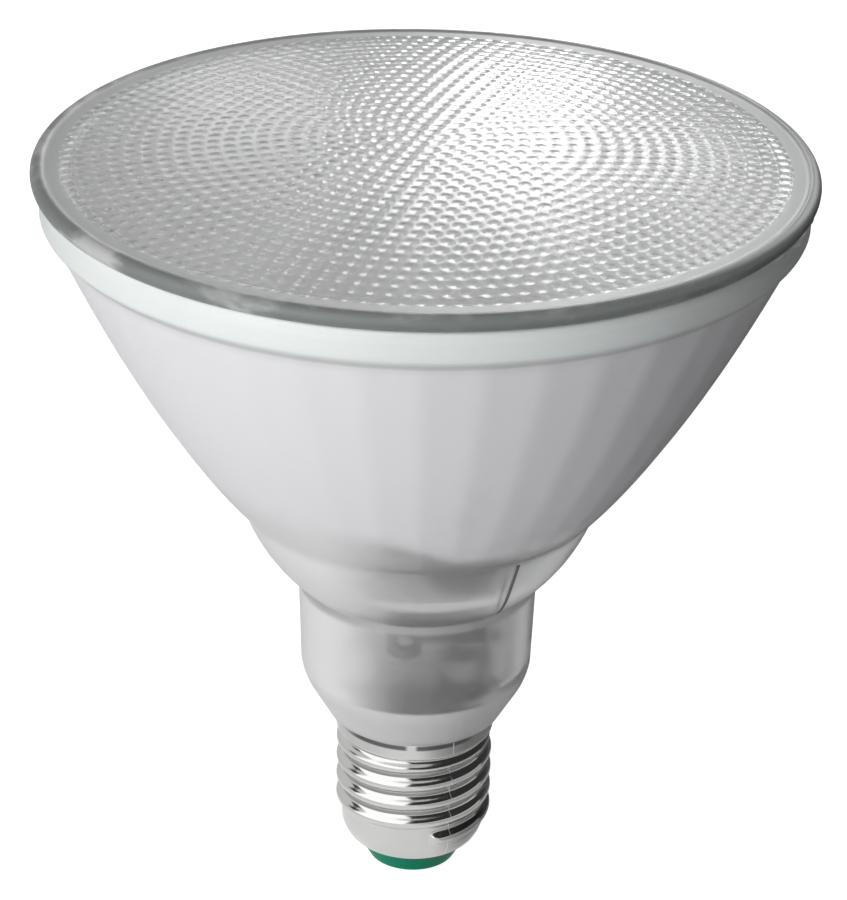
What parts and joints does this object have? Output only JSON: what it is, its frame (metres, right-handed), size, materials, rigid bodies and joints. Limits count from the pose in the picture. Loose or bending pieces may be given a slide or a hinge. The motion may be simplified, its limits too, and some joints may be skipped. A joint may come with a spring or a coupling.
{
  "type": "par spotlight bulb",
  "caption": "Reflector lamp with a domed stippled lens, a facetted glass bowl, a narrow neck with a compact fluorescent ballast and an Edison screw cap.",
  "frame": {"origin": "centre of the centre contact's outer face, on the lamp's axis", "axes": "+Z along the lamp's axis from the cap to the lens, -Y towards the side that the picture shows, +X to its right"},
  "size_m": [0.123, 0.123, 0.1314],
  "materials": {
    "contact_metal": "satin",
    "green_insulator": "gloss",
    "nickel_cap": "polished",
    "cement": "matte",
    "frosted_glass": "satin",
    "silicone": "matte",
    "lens_glass": "gloss",
    "tube_glass": "satin",
    "dark_cement": "matte",
    "white_plastic": "matte",
    "dark_plastic": "matte",
    "board": "satin",
    "ferrite": "matte",
    "black_plastic": "satin",
    "copper": "satin",
    "capacitor_sleeve": "gloss",
    "film_body": "gloss",
    "resistor_body": "matte",
    "lead_insulation": "satin",
    "tinned_wire": "satin"
  },
  "bodies": {
    "root": {"centre_contact": "contact_metal", "cap_insulator": "green_insulator", "cap_shell": "nickel_cap", "cap_cement": "cement", "reflector_body": "frosted_glass", "lens_seal": "silicone", "front_lens": "lens_glass", "fluorescent_tube": "tube_glass", "tube_collars": "dark_cement", "tube_holder": "white_plastic", "ballast_carrier": "dark_plastic", "circuit_board": "board", "choke_core": "ferrite", "choke_bobbin": "black_plastic", "choke_winding": "copper", "bulk_capacitor": "capacitor_sleeve", "film_capacitor": "film_body", "toroid_core": "ferrite", "toroid_windings": "copper", "transistors": "black_plastic", "rectifier_diodes": "black_plastic", "fuse_resistor": "resistor_body", "live_lead": "lead_insulation", "neutral_lead": "lead_insulation", "filament_leads": "tinned_wire"}
  },
  "joints": []
}
